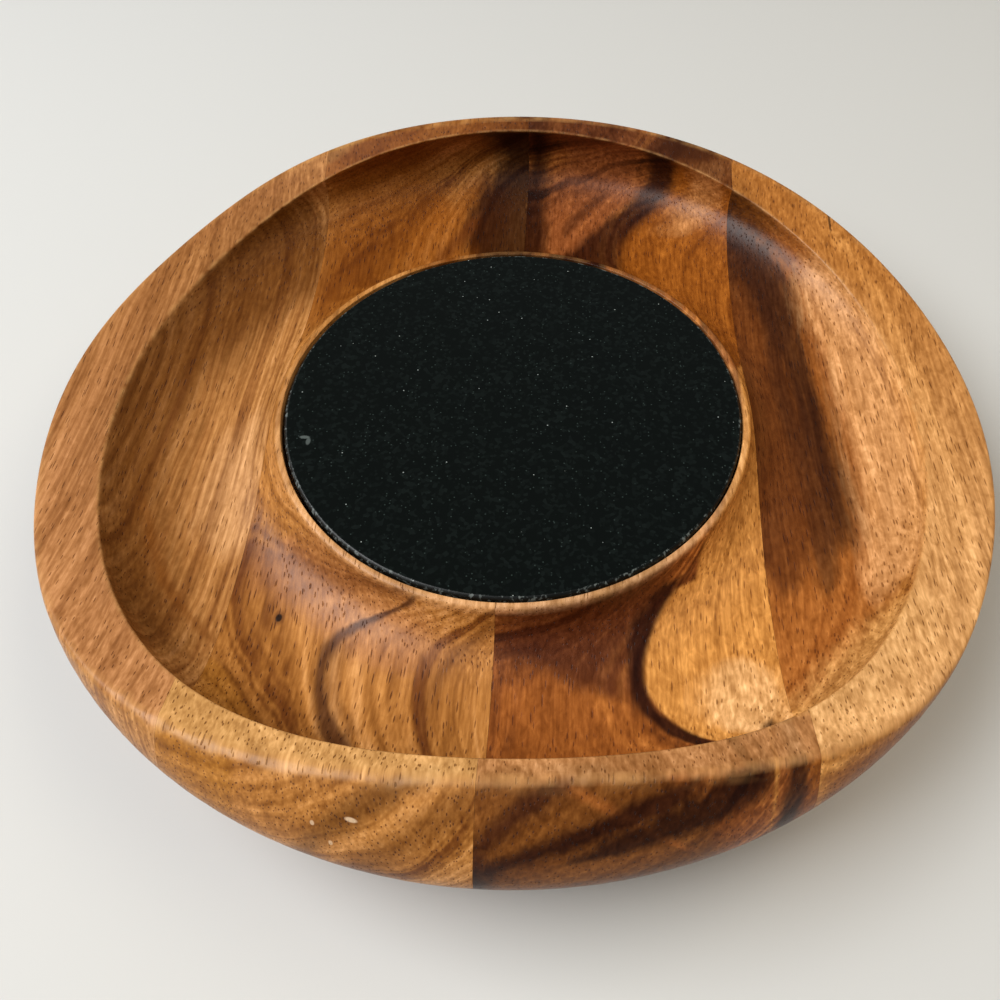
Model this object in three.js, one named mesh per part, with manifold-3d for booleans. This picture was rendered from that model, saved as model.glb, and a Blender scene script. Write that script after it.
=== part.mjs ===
// Chip and dip server: a turned wooden body, glued up from four boards, with a stone disc let into its centre.
//
// The origin is on the turning axis, at the surface that the server stands on. +Z is up, +X is to the right and
// -Y is the front. The boards' grain runs along Y, and their glue joints are the planes x = constant.
// Lengths are millimetres. The body is a solid of revolution whose rim is then cut to a saddle.

import * as THREE from 'three';
import { mergeVertices } from 'three/addons/utils/BufferGeometryUtils.js';
import Module from 'manifold-3d';

// ---- Driving dimensions ----

const DISC_RADIUS = 76;
const DISC_THICKNESS = 8;
const DISC_LEVEL = 40; // top of the disc, and of the wooden lip round it, above the standing surface
const DISC_CHAMFER = 0.7;
const DISC_OFFSET = [0.3, 0.3]; // the loose disc has been pushed towards the back right of its recess

const RECESS_CLEARANCE = 0.8;
const LIP_OUTER_RADIUS = 79.2;
const LIP_ROUNDING = 0.8;

const BODY_RADIUS = 154; // at the widest place, just above the level of the disc
const WIDEST_LEVEL = DISC_LEVEL + 1.8;
const UNDERSIDE_DEPTH = 50; // where the underside's curve would close, below the widest place
const UNDERSIDE_POWER = 1.9;

const SHOULDER_HEIGHT = 20; // from the widest place up to the rim's crest
const SHOULDER_TAPER = 18.2; // how far the wall has come in at the crest
const SHOULDER_POWER = 1.82;
const BLANK_HEIGHT = 26; // wall left above the disc's level before the rim is cut

const COVE_DEPTH = 12.9; // trough bottom below the disc's level
const COVE_BOTTOM_RADIUS = 101;
const COVE_OUTER_HANDLES = [11, 15]; // how long the curve runs on down the wall, and out along the bottom
const COVE_INNER_HANDLE = 11; // how long the curve runs in along the bottom
const COVE_LIP_FLARE = [2.6, 3.9]; // how far out from the lip, and up from the bottom, the curve turns up to it
const INNER_WALL_FOOT = 3; // height over the disc's level where the wall runs into the cove
const INNER_WALL_RADIUS = 136; // widest place of the inner wall
const INNER_WALL_LEVEL = 4.3; // height of that place over the disc's level
const INNER_WALL_CURVE = 0.0306; // how fast the inner wall leans in, per millimetre squared

const RIM_SIDE_RISE = 0.5; // rim at the left and right, above the disc's level
const RIM_CREST_SQUARE = 15.6;
const RIM_CREST_FOURTH = 15.7;
const RIM_SIDE_DISH = 14.4;
const RIM_TWIST_LOW = -7.6; // the crests lean a little: these two make the rim's waviness slightly uneven
const RIM_TWIST_HIGH = 22.9;
const RIM_CUTTER = { inner: 112, outer: 172, radialSteps: 6, height: 20 };

const BOARD_WIDTH = 81.2;
const JOINT_GAP = 0.3; // stands for the glue line between two boards

const CUSHION_RADIUS = 4.5;
const CUSHION_HEIGHT = 1.2;
const CUSHION_CIRCLE = 50;
const CUSHION_FILM = 0.1; // adhesive film under a cushion
const CUSHION_ANGLES = [60, 180, 300]; // degrees; none of them falls on a glue joint
const CUSHION_PROFILE = [[1, 0], [0.94, 0.5], [0.76, 0.85], [0.45, 1]]; // shares of its radius and height
const CUSHION_REST_GAP = 0.2; // between the disc and the tops of its cushions

const BODY_SEGMENTS = 72;
const CUSHION_SEGMENTS = 20;
const UNDERSIDE_STEPS = 9;
const SHOULDER_STEPS = 7;
const INNER_WALL_STEPS = 6;
const COVE_STEPS = 8; // for each of the three curves between the inner wall and the lip
const BOARD_SLAB = [400, 200]; // length and height of the slab that cuts a board out of the body
const BOARD_SLAB_LEVEL = 50;
const SLAB_OVERHANG = 10; // how far the outer slabs stand out past the body
const WELD_DISTANCE = 1e-4;

const WOOD_ROUGHNESS = 0.42;
const STONE_ROUGHNESS = 0.08;
const SILICONE_ROUGHNESS = 0.35;
const STONE_COLOR = 0x101615;
const SILICONE_COLOR = 0xd9dcd8;

// ---- Derived levels ----

const RECESS_RADIUS = DISC_RADIUS + RECESS_CLEARANCE;
const RECESS_FLOOR = DISC_LEVEL - DISC_THICKNESS - CUSHION_REST_GAP - CUSHION_HEIGHT - CUSHION_FILM;
const BLANK_TOP = DISC_LEVEL + BLANK_HEIGHT;

// ---- Shared shape helpers ----

const wasm = await Module();
wasm.setup();

// A lathe of [radius, height] points about the Z axis. The points run up the outside and down the inside.
function turned(points, segments) {
  const outline = points.map(([radius, height]) => new THREE.Vector2(radius, height));
  const geometry = new THREE.LatheGeometry(outline, segments);
  geometry.rotateX(Math.PI / 2);
  return geometry;
}

// Vertices and triangles with the seams merged and the flat slivers at the axis left out.
function weld(geometry) {
  const bare = geometry.clone();
  bare.deleteAttribute('normal');
  bare.deleteAttribute('uv');
  const merged = mergeVertices(bare, WELD_DISTANCE);
  const index = merged.index.array;
  const triangles = [];
  for (let i = 0; i < index.length; i += 3) {
    const [a, b, c] = [index[i], index[i + 1], index[i + 2]];
    if (a !== b && b !== c && c !== a) triangles.push(a, b, c);
  }
  return { vertices: merged.attributes.position.array, triangles };
}

function toSolid(geometry) {
  const { vertices, triangles } = weld(geometry);
  const mesh = new wasm.Mesh({
    numProp: 3,
    vertProperties: new Float32Array(vertices),
    triVerts: new Uint32Array(triangles),
  });
  return new wasm.Manifold(mesh);
}

function toGeometry(solid) {
  const mesh = solid.getMesh();
  const geometry = new THREE.BufferGeometry();
  geometry.setAttribute('position', new THREE.BufferAttribute(new Float32Array(mesh.vertProperties), 3));
  geometry.setIndex(new THREE.BufferAttribute(new Uint32Array(mesh.triVerts), 1));
  geometry.computeVertexNormals();
  return geometry;
}

// ---- The body's outline ----

// The underside is part of a superellipse that the flat base cuts off.
function undersidePoints(steps) {
  const power = 2 / UNDERSIDE_POWER;
  const baseSine = (WIDEST_LEVEL / UNDERSIDE_DEPTH) ** (1 / power);
  const baseAngle = Math.asin(baseSine);
  const points = [];
  for (let i = 0; i < steps; i++) {
    const angle = baseAngle * (1 - i / steps);
    const radius = BODY_RADIUS * Math.cos(angle) ** power;
    points.push([radius, WIDEST_LEVEL - UNDERSIDE_DEPTH * Math.sin(angle) ** power]);
  }
  return points;
}

function shoulderPoints(steps) {
  const top = BLANK_TOP - WIDEST_LEVEL;
  const points = [];
  for (let i = 0; i <= steps; i++) {
    const rise = top * (i / steps);
    const taper = SHOULDER_TAPER * (rise / SHOULDER_HEIGHT) ** SHOULDER_POWER;
    points.push([BODY_RADIUS - taper, WIDEST_LEVEL + rise]);
  }
  return points;
}

const innerWallRadius = (level) =>
  INNER_WALL_RADIUS - INNER_WALL_CURVE * (level - DISC_LEVEL - INNER_WALL_LEVEL) ** 2;

function innerWallPoints(bottom, steps) {
  const points = [];
  for (let i = 0; i < steps; i++) {
    const level = BLANK_TOP + (bottom - BLANK_TOP) * (i / steps);
    points.push([innerWallRadius(level), level]);
  }
  return points;
}

// From the foot of the inner wall, through the trough, up to the lip and down into the recess.
function coveAndRecessPoints(wallFoot) {
  const coveBottom = DISC_LEVEL - COVE_DEPTH;
  const footRadius = innerWallRadius(wallFoot);
  const [wallHandle, bottomHandle] = COVE_OUTER_HANDLES;
  const [flareOut, flareUp] = COVE_LIP_FLARE;
  const path = new THREE.Path();
  path.moveTo(footRadius, wallFoot);
  path.bezierCurveTo(
    footRadius, wallFoot - wallHandle,
    COVE_BOTTOM_RADIUS + bottomHandle, coveBottom,
    COVE_BOTTOM_RADIUS, coveBottom
  );
  path.bezierCurveTo(
    COVE_BOTTOM_RADIUS - COVE_INNER_HANDLE, coveBottom,
    LIP_OUTER_RADIUS + flareOut, coveBottom + flareUp,
    LIP_OUTER_RADIUS, DISC_LEVEL - LIP_ROUNDING
  );
  path.quadraticCurveTo(LIP_OUTER_RADIUS, DISC_LEVEL, LIP_OUTER_RADIUS - LIP_ROUNDING, DISC_LEVEL);
  return [
    ...path.getPoints(COVE_STEPS).map((point) => [point.x, point.y]),
    [RECESS_RADIUS, DISC_LEVEL],
    [RECESS_RADIUS, RECESS_FLOOR],
    [0, RECESS_FLOOR],
  ];
}

function bodyBlank() {
  const wallFoot = DISC_LEVEL + INNER_WALL_FOOT;
  return turned(
    [
      [0, 0],
      ...undersidePoints(UNDERSIDE_STEPS),
      ...shoulderPoints(SHOULDER_STEPS),
      ...innerWallPoints(wallFoot, INNER_WALL_STEPS),
      ...coveAndRecessPoints(wallFoot),
    ],
    BODY_SEGMENTS
  );
}

// ---- The rim's saddle ----

// High at the front and back, low at the sides, and sloping inwards all the way round.
function rimHeight(x, y) {
  const across = (x / BODY_RADIUS) ** 2;
  const along = (y / BODY_RADIUS) ** 2;
  const crest = RIM_CREST_SQUARE * along + RIM_CREST_FOURTH * along ** 2;
  const dish = RIM_SIDE_DISH * (across - across ** 2);
  const twist = ((x * y) / BODY_RADIUS ** 2) * (RIM_TWIST_LOW * along + RIM_TWIST_HIGH * across * along);
  return DISC_LEVEL + RIM_SIDE_RISE + crest - dish + twist;
}

// A ring above the rim whose underside is the saddle.
function rimCutter() {
  const { inner, outer, radialSteps, height } = RIM_CUTTER;
  const top = BLANK_TOP + height;
  const points = [[inner, top]];
  for (let i = 0; i <= radialSteps; i++) {
    points.push([inner + (outer - inner) * (i / radialSteps), 0]); // lifted to the saddle below
  }
  points.push([outer, top], [inner, top]);
  const ring = turned(points, BODY_SEGMENTS);
  const position = ring.attributes.position;
  for (let i = 0; i < position.count; i++) {
    if (position.getZ(i) < top / 2) {
      position.setZ(i, rimHeight(position.getX(i), position.getY(i)));
    }
  }
  return ring;
}

// ---- The four boards ----

function boardSlab(left, right) {
  const slab = new THREE.BoxGeometry(right - left, ...BOARD_SLAB);
  slab.translate((left + right) / 2, 0, BOARD_SLAB_LEVEL);
  return slab;
}

const body = toSolid(bodyBlank()).subtract(toSolid(rimCutter()));

function board(left, right) {
  return toGeometry(body.intersect(toSolid(boardSlab(left, right))));
}

// ---- The disc and its cushions ----

function stoneDisc() {
  const bottom = DISC_LEVEL - DISC_THICKNESS;
  return turned(
    [
      [0, bottom],
      [DISC_RADIUS - DISC_CHAMFER, bottom],
      [DISC_RADIUS, bottom + DISC_CHAMFER],
      [DISC_RADIUS, DISC_LEVEL - DISC_CHAMFER],
      [DISC_RADIUS - DISC_CHAMFER, DISC_LEVEL],
      [0, DISC_LEVEL],
    ],
    BODY_SEGMENTS
  );
}

// A low dome with a flattened crown.
function cushionDome() {
  const side = CUSHION_PROFILE.map(([out, up]) => [CUSHION_RADIUS * out, CUSHION_HEIGHT * up]);
  return turned([[0, 0], ...side, [0, CUSHION_HEIGHT]], CUSHION_SEGMENTS);
}

// ---- Materials and assembly ----

const material = (color, roughness) => new THREE.MeshStandardMaterial({ color, roughness, metalness: 0 });

const server = new THREE.Group();

function place(name, geometry, finish, position = [0, 0, 0]) {
  const { vertices, triangles } = weld(geometry);
  const closed = new THREE.BufferGeometry();
  closed.setAttribute('position', new THREE.BufferAttribute(new Float32Array(vertices), 3));
  closed.setIndex(triangles);
  closed.computeVertexNormals();
  const mesh = new THREE.Mesh(closed, finish);
  mesh.name = name;
  mesh.position.set(...position);
  server.add(mesh);
}

const halfGap = JOINT_GAP / 2;
const outerEdge = BODY_RADIUS + SLAB_OVERHANG;
const boards = [
  ['stave_left_outer', -outerEdge, -BOARD_WIDTH - halfGap, 0xb98a5c],
  ['stave_left_inner', -BOARD_WIDTH + halfGap, -halfGap, 0xb5803f],
  ['stave_right_inner', halfGap, BOARD_WIDTH - halfGap, 0x7a4322],
  ['stave_right_outer', BOARD_WIDTH + halfGap, outerEdge, 0xbd8248],
];
for (const [name, left, right, color] of boards) {
  place(name, board(left, right), material(color, WOOD_ROUGHNESS));
}

place('granite_disc', stoneDisc(), material(STONE_COLOR, STONE_ROUGHNESS), [...DISC_OFFSET, 0]);

const silicone = material(SILICONE_COLOR, SILICONE_ROUGHNESS);
CUSHION_ANGLES.forEach((degrees, i) => {
  const angle = THREE.MathUtils.degToRad(degrees);
  const position = [
    CUSHION_CIRCLE * Math.cos(angle),
    CUSHION_CIRCLE * Math.sin(angle),
    RECESS_FLOOR + CUSHION_FILM,
  ];
  place(`disc_cushion_${i + 1}`, cushionDome(), silicone, position);
});

export default server;
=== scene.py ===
"""Chip and dip server: a turned acacia body glued up from four boards, with a polished granite disc in it.

The add-on builds the server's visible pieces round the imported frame: four boards, the stone disc, its three
cushions, and a stage. Lengths inside the shape code are millimetres, and meshes are made in metres. +Z is up,
-Y is the front, and the boards' grain runs along Y.
"""

import math

import bmesh
import bpy
import numpy as np
from bpy.props import FloatProperty, FloatVectorProperty, IntProperty, PointerProperty
from mathutils import Matrix, Vector


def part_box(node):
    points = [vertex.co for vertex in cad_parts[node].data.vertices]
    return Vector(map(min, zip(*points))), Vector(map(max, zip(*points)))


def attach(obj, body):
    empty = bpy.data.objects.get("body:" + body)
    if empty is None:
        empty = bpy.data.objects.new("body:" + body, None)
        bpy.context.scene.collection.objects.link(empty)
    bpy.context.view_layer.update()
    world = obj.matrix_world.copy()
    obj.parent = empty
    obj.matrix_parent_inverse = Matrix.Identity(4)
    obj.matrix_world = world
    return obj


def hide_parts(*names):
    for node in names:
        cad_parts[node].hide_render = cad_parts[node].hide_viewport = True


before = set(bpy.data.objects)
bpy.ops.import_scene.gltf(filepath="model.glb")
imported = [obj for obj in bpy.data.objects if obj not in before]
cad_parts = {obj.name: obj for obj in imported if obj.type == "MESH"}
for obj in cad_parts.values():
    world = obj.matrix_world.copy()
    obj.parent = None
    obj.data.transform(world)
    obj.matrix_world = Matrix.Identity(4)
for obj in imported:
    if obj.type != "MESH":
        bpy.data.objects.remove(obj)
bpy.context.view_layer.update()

bl_info = {
    "name": "Chip and Dip Server",
    "version": (1, 0, 0),
    "blender": (4, 5, 0),
    "location": "3D View > Sidebar > Server",
    "description": "Builds a turned acacia chip and dip server with a lift-out granite disc",
    "category": "Add Mesh",
}

MM = 0.001

# ---- Sizes of the turned body, in millimetres; heights are over the disc's top ----

DISC_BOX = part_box("granite_disc")
DISC_LEVEL = DISC_BOX[1].z / MM  # over the standing surface
RECESS_RADIUS = 76.8
RECESS_DEPTH = 9.5
RECESS_ROUNDING = 0.35
LIP_OUTER_RADIUS = 79.2
LIP_ROUNDING = 0.8

BODY_RADIUS = 154.0
WIDEST_LEVEL = 1.8
UNDERSIDE_DEPTH = 50.0
UNDERSIDE_POWER = 1.9
SHOULDER_HEIGHT = 20.0
SHOULDER_TAPER = 18.2
SHOULDER_POWER = 1.82
WALL_TOP = 26.0

COVE_DEPTH = 12.9
COVE_BOTTOM_RADIUS = 101.0
COVE_OUTER_HANDLES = (11.0, 15.0)  # how long the curve runs on down the wall, and out along the bottom
COVE_INNER_HANDLE = 11.0  # how long it runs in along the bottom
COVE_LIP_FLARE = (2.6, 3.9)  # how far out from the lip, and up from the bottom, it turns up to the lip
INNER_WALL_FOOT = 3.0
INNER_WALL_RADIUS = 136.0
INNER_WALL_LEVEL = 4.3
INNER_WALL_CURVE = 0.0306

RIM_SIDE_RISE = 0.5
RIM_CREST_SQUARE = 15.6
RIM_CREST_FOURTH = 15.7
RIM_SIDE_DISH = 14.4
RIM_TWIST_LOW = -7.6
RIM_TWIST_HIGH = 22.9

BOARD_WIDTH = 81.2
BASE_EDGE_ROUNDING = 1.5

# How hand sanding makes the arrises wander: waves round the rim, start in radians, share of the rounding.
OUTER_ARRIS_WAVES = [(3, 1, 0.14), (7, 2, 0.1)]
INNER_ARRIS_WAVES = [(5, 0, 0.2)]

# Places where knocks have widened the worn outer arris: angle in degrees, half width in degrees, extra in mm.
ARRIS_KNOCKS = [(231.5, 0.9, 1.3), (236.5, 1.1, 1.9), (243.0, 0.8, 1.5), (251.0, 1.6, 1.0), (262.0, 1.0, 1.1)]

# Wear that is painted on: how much of it is left at a rounded edge's ends, and how strong it is.
OUTER_WEAR_MARGIN = 0.12
INNER_WEAR_MARGIN = 0.15
# The rim's inner edge is painted paler than wear alone would make it: a painted highlight line.
INNER_WEAR_AND_HIGHLIGHT = 1.2
BASE_WEAR = 0.3
RECESS_WEAR = 0.5
LIP_WEAR = 0.6
LIP_WEAR_START = 0.965  # share of the way from the rim to the lip

# Rows of points along each stretch of the body's outline.
CURVE_STEPS = 160
CROWN_STEPS = 12
OUTLINE_STEPS = 1200
SETTLE_ROUNDS = 60
BASE_ROWS = (0.25, 0.5, 0.75, 0.93)  # shares of the base's radius
BASE_EDGE_ROWS = 5
OUTER_WALL_ROWS = 54
OUTER_ARRIS_ROWS = 8
RIM_FACE_ROWS = 16
INNER_ARRIS_ROWS = 5
TROUGH_ROWS = 64
RECESS_EDGE_ROWS = 4
RECESS_FLOOR_ROWS = (0.8, 0.5, 0.2)  # shares of the recess's radius


def linear(hex_colour):
    """An sRGB hex colour as linear red, green, blue and alpha."""
    value = hex_colour.lstrip("#")
    channels = [int(value[i : i + 2], 16) / 255 for i in (0, 2, 4)]
    straight = [c / 12.92 if c <= 0.04045 else ((c + 0.055) / 1.055) ** 2.4 for c in channels]
    return (*straight, 1.0)


# ---- What a user can change ----

# Settings that many of them share.
LENGTH = {"unit": "LENGTH", "subtype": "DISTANCE"}
COLOUR = {"size": 4, "min": 0.0, "max": 1.0, "subtype": "COLOR"}
FACTOR = {"max": 1.0, "subtype": "FACTOR"}


class ServerBodySizes(bpy.types.PropertyGroup):
    """Finish of the wooden body."""

    glue_gap: FloatProperty(
        name="Glue line",
        description="Gap that shows as the glue line between two boards",
        default=0.00006,
        min=0.0,
        **LENGTH,
    )
    outer_round: FloatProperty(
        name="Outer arris",
        description="How far the rim's outer edge has been rounded over",
        default=0.002,
        min=0.0005,
        **LENGTH,
    )
    inner_round: FloatProperty(
        name="Inner arris",
        description="How far the rim's inner edge has been eased",
        default=0.0008,
        min=0.0002,
        **LENGTH,
    )
    segments: IntProperty(
        name="Segments",
        description="Steps round the body",
        default=432,
        min=72,
    )
    sheen: FloatProperty(
        name="Oil roughness",
        description="Roughness of the oiled surface",
        default=0.36,
        min=0.05,
        **FACTOR,
    )


class ServerStoneSizes(bpy.types.PropertyGroup):
    """Size and colour of the granite disc."""

    chamfer: FloatProperty(
        name="Chamfer",
        description="Ground bevel round the disc's edges",
        default=0.0007,
        min=0.0,
        **LENGTH,
    )
    colour: FloatVectorProperty(
        name="Stone",
        description="Colour of the stone's black ground",
        default=linear("#040806"),
        **COLOUR,
    )
    polish: FloatProperty(
        name="Polish roughness",
        description="Roughness of the polished faces",
        default=0.1,
        min=0.0,
        **FACTOR,
    )


class ServerCushionSizes(bpy.types.PropertyGroup):
    """Colour of the cushions under the disc."""

    colour: FloatVectorProperty(
        name="Silicone",
        description="Tint of the clear silicone",
        default=linear("#e4e7e2"),
        **COLOUR,
    )


class ServerStageSizes(bpy.types.PropertyGroup):
    """Floor, light and camera."""

    floor_colour: FloatVectorProperty(
        name="Floor",
        description="Colour of the pale floor",
        default=linear("#d2d3d2"),
        **COLOUR,
    )
    window_power: FloatProperty(
        name="Window light",
        description="Power of the large soft light at the back left",
        default=31.0,
        min=0.0,
        unit="POWER",
    )
    lens: FloatProperty(
        name="Lens",
        description="Focal length of the camera in millimetres",
        default=32.313,
        min=10.0,
    )


# ---- Shape of the wooden body ----


def outer_radius(level):
    """Radius of the outside at a height."""
    rise = np.clip(level - WIDEST_LEVEL, 0, None)
    shoulder = BODY_RADIUS - SHOULDER_TAPER * (rise / SHOULDER_HEIGHT) ** SHOULDER_POWER
    drop = np.clip((WIDEST_LEVEL - level) / UNDERSIDE_DEPTH, 0, 1)
    underside = BODY_RADIUS * (1 - drop**UNDERSIDE_POWER) ** (1 / UNDERSIDE_POWER)
    return np.where(level > WIDEST_LEVEL, shoulder, underside)


def rim_height(x, y):
    """Height of the rim's saddle."""
    across = (x / BODY_RADIUS) ** 2
    along = (y / BODY_RADIUS) ** 2
    crest = RIM_CREST_SQUARE * along + RIM_CREST_FOURTH * along**2
    dish = RIM_SIDE_DISH * (across - across**2)
    twist = x * y / BODY_RADIUS**2 * (RIM_TWIST_LOW * along + RIM_TWIST_HIGH * across * along)
    return RIM_SIDE_RISE + crest - dish + twist


def curve_points(a, b, c, d, steps):
    """Points on a cubic Bezier curve."""
    t = np.linspace(0, 1, steps)[:, None]
    a, b, c, d = (np.array(p, float) for p in (a, b, c, d))
    return (1 - t) ** 3 * a + 3 * (1 - t) ** 2 * t * b + 3 * (1 - t) * t**2 * c + t**3 * d


def inner_profile():
    """Radius and height from the top of the inner wall, down through the cove and up to the lip's top."""
    levels = np.linspace(WALL_TOP, INNER_WALL_FOOT, CURVE_STEPS)
    wall = np.stack([INNER_WALL_RADIUS - INNER_WALL_CURVE * (levels - INNER_WALL_LEVEL) ** 2, levels], 1)
    foot = wall[-1]
    bottom = (COVE_BOTTOM_RADIUS, -COVE_DEPTH)
    fall, spread = COVE_OUTER_HANDLES
    below_foot = (foot[0], foot[1] - fall)
    down = curve_points(foot, below_foot, (COVE_BOTTOM_RADIUS + spread, -COVE_DEPTH), bottom, CURVE_STEPS)
    lip_side = (LIP_OUTER_RADIUS, -LIP_ROUNDING)
    flare = (LIP_OUTER_RADIUS + COVE_LIP_FLARE[0], COVE_LIP_FLARE[1] - COVE_DEPTH)
    towards_lip = (COVE_BOTTOM_RADIUS - COVE_INNER_HANDLE, -COVE_DEPTH)
    up = curve_points(bottom, towards_lip, flare, lip_side, CURVE_STEPS)
    corner = (LIP_OUTER_RADIUS, 0)
    crown = curve_points(lip_side, corner, corner, (LIP_OUTER_RADIUS - LIP_ROUNDING, 0), CROWN_STEPS)
    return np.concatenate([wall, down[1:], up[1:], crown[1:]])


def travelled(points):
    """Distance along a line of points, from its first."""
    steps = np.hypot(*np.diff(points, axis=0).T)
    return np.concatenate([[0], np.cumsum(steps)])


def at_distance(run, runs, outline):
    """Radius and height at a distance along an outline."""
    return [np.interp(run, runs, outline[:, k]) for k in (0, 1)]


def settle(radius_at_level, start, cos, sin):
    """Radius and height, at every angle, where a wall meets the rim's saddle."""
    radius = np.full(cos.shape, start)
    for _ in range(SETTLE_ROUNDS):
        radius = (radius + radius_at_level(rim_height(radius * cos, radius * sin))) / 2
    return radius, rim_height(radius * cos, radius * sin)


def eased(start, corner, end, steps):
    """Rows of a rounded edge, as (radius, height) pairs of arrays."""
    ends = list(zip(start, corner, end))
    rows = []
    for t in np.linspace(0, 1, steps):
        rows.append([(1 - t) ** 2 * p + 2 * (1 - t) * t * q + t**2 * r for p, q, r in ends])
    return rows


def wandering(angles, waves):
    """A factor of about 1 that varies round the rim."""
    return 1 + sum(share * np.sin(count * angles + start) for count, start, share in waves)


def worn(share, margin):
    """Paint across a rounded edge, for wear, and on the rim's inner edge for a painted highlight too: full in
    its middle, and less towards its ends.
    """
    return math.sin(math.pi * (margin + (1 - 2 * margin) * share))


def body_rows(sizes):
    """Rings of the body from the underside's centre, over the rim, to the recess's centre.

    Each row is (radius, height, arris wear and painted highlight, rim face), and each entry is an array over
    the angles.
    """
    angles = np.arange(sizes.segments) * 2 * math.pi / sizes.segments
    cos, sin = np.cos(angles), np.sin(angles)
    ones = np.ones_like(angles)

    levels = np.linspace(-DISC_LEVEL, WALL_TOP, OUTLINE_STEPS)
    outside = np.stack([outer_radius(levels), levels], 1)
    outside_run = travelled(outside)
    inside = inner_profile()
    inside_run = travelled(inside)
    bottom = int(np.argmin(inside[:, 1]))
    falling = inside[: bottom + 1]

    outer_edge, outer_level = settle(outer_radius, BODY_RADIUS, cos, sin)
    inner_edge, inner_level = settle(
        lambda level: np.interp(-level, -falling[:, 1], falling[:, 0]), INNER_WALL_RADIUS, cos, sin
    )

    # The outer arris is hand sanded: its rounding wanders, and knocks have opened it in places.
    degrees = np.degrees(angles)
    outer_ease = sizes.outer_round / MM * wandering(angles, OUTER_ARRIS_WAVES)
    for centre, half_width, extra in ARRIS_KNOCKS:
        outer_ease = outer_ease + extra * np.exp(-(((degrees - centre) / half_width) ** 2))
    inner_ease = sizes.inner_round / MM * wandering(angles, INNER_ARRIS_WAVES)

    rows = []

    def row(radius, level, wear_and_highlight=0.0, rim=0.0):
        rows.append((radius * ones, level * ones, wear_and_highlight * ones, rim * ones))

    base_radius = float(outer_radius(np.array(-DISC_LEVEL)))
    for share in BASE_ROWS:
        row(base_radius * share, -DISC_LEVEL)
    start = BASE_EDGE_ROUNDING
    base_side = at_distance(start, outside_run, outside)
    base_corner = (base_radius, -DISC_LEVEL)
    for radius, level in eased((base_radius - start, -DISC_LEVEL), base_corner, base_side, BASE_EDGE_ROWS):
        row(radius, level, BASE_WEAR)

    edge_run = np.interp(outer_level, outside[:, 1], outside_run)
    for share in np.linspace(0, 1, OUTER_WALL_ROWS)[1:-1]:
        row(*at_distance(start + (edge_run - outer_ease - start) * share, outside_run, outside))
    below = at_distance(edge_run - outer_ease, outside_run, outside)
    inwards = outer_edge - outer_ease
    over = (inwards, rim_height(inwards * cos, inwards * sin))
    rounded = eased(below, (outer_edge, outer_level), over, OUTER_ARRIS_ROWS)
    for i, (radius, level) in enumerate(rounded):
        share = i / (len(rounded) - 1)
        row(radius, level, worn(share, OUTER_WEAR_MARGIN), share)

    eased_in = inner_edge + inner_ease
    for share in np.linspace(0, 1, RIM_FACE_ROWS)[1:-1]:
        radius = inwards + (eased_in - inwards) * share
        row(radius, rim_height(radius * cos, radius * sin), 0.0, 1.0)

    wall_run = np.interp(-inner_level, -falling[:, 1], inside_run[: bottom + 1])
    before = (eased_in, rim_height(eased_in * cos, eased_in * sin))
    after = at_distance(wall_run + inner_ease, inside_run, inside)
    rounded = eased(before, (inner_edge, inner_level), after, INNER_ARRIS_ROWS)
    for i, (radius, level) in enumerate(rounded):
        share = i / (len(rounded) - 1)
        # The inner arris's paint is wear and a painted highlight line.
        row(radius, level, INNER_WEAR_AND_HIGHLIGHT * worn(share, INNER_WEAR_MARGIN), 1 - share)

    for share in np.linspace(0, 1, TROUGH_ROWS)[1:]:
        run = wall_run + inner_ease + (inside_run[-1] - wall_run - inner_ease) * share
        wear_and_highlight = max(0.0, (share - LIP_WEAR_START) / (1 - LIP_WEAR_START)) * LIP_WEAR
        row(*at_distance(run, inside_run, inside), wear_and_highlight)

    side, floor, ease = RECESS_RADIUS, -RECESS_DEPTH, RECESS_ROUNDING
    for radius, level in eased((side + ease, 0), (side, 0), (side, -ease), RECESS_EDGE_ROWS):
        row(radius, level, RECESS_WEAR)
    row(side, floor / 2)
    for radius, level in eased((side, floor + ease), (side, floor), (side - ease, floor), RECESS_EDGE_ROWS):
        row(radius, level)
    for share in RECESS_FLOOR_ROWS:
        row(side * share, floor)
    return angles, rows


def body_mesh(sizes):
    """The whole turned body as one closed mesh with two painted values: arris wear, with a painted highlight
    on the inner arris, and rim face.
    """
    angles, rows = body_rows(sizes)
    radius, level, wear_and_highlight, rim = (np.array([r[k] for r in rows]) for k in range(4))
    count, around = radius.shape
    grid = np.stack([radius * np.cos(angles), radius * np.sin(angles), level + DISC_LEVEL], 2).reshape(-1, 3)
    poles = np.array([[0, 0, 0], [0, 0, DISC_LEVEL - RECESS_DEPTH]])
    points = np.concatenate([grid, poles]) * MM
    under, over = len(grid), len(grid) + 1

    faces = []
    for i in range(count - 1):
        for j in range(around):
            k = (j + 1) % around
            faces.append((i * around + j, i * around + k, (i + 1) * around + k, (i + 1) * around + j))
    last = (count - 1) * around
    for j in range(around):
        k = (j + 1) % around
        faces.append((under, k, j))
        faces.append((over, last + j, last + k))

    mesh = bpy.data.meshes.new("turned_body")
    mesh.from_pydata(points.tolist(), [], faces)
    for name, values in (("arris", wear_and_highlight), ("rim_face", rim)):
        painted = mesh.attributes.new(name, "FLOAT", "POINT")
        painted.data.foreach_set("value", np.concatenate([values.ravel(), [0, 0]]).astype(np.float32))
    return mesh


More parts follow.
